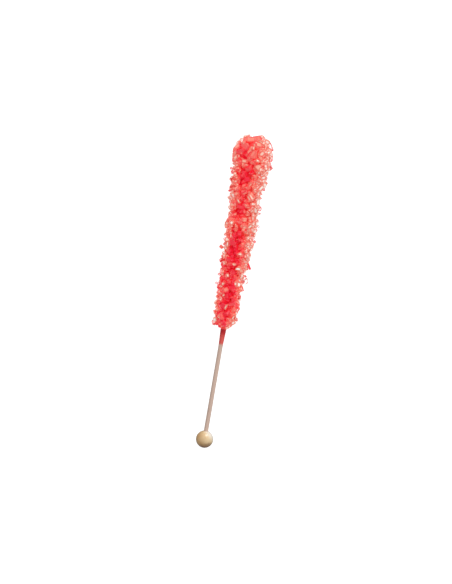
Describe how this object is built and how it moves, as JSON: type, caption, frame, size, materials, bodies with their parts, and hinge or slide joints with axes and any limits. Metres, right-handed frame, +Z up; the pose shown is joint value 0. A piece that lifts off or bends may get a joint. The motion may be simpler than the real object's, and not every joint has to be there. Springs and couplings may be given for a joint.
{
  "type": "rock candy stick",
  "caption": "Red rock candy on a stick: sugar crystals fused round a thin wooden dowel that ends in a turned wooden ball to hold, lying on its side.",
  "frame": {"origin": "bottom centre of the bounding box of the stick as it lies on its side", "axes": "+Y along the stick from the ball to the candy's head, +Z up, so that the side shown looks up"},
  "size_m": [0.0222, 0.165, 0.0214],
  "materials": {
    "ball_wood": "pale polished wood with fine brown grain and a soft gloss",
    "dowel_wood": "bare pinkish beige wood, stained red next to the candy",
    "red_sugar": "translucent red sugar crystals with glossy facets, paler where they are thin"
  },
  "bodies": {
    "root": {"ball": "ball_wood", "dowel": "dowel_wood", "candy": "red_sugar"}
  },
  "joints": []
}
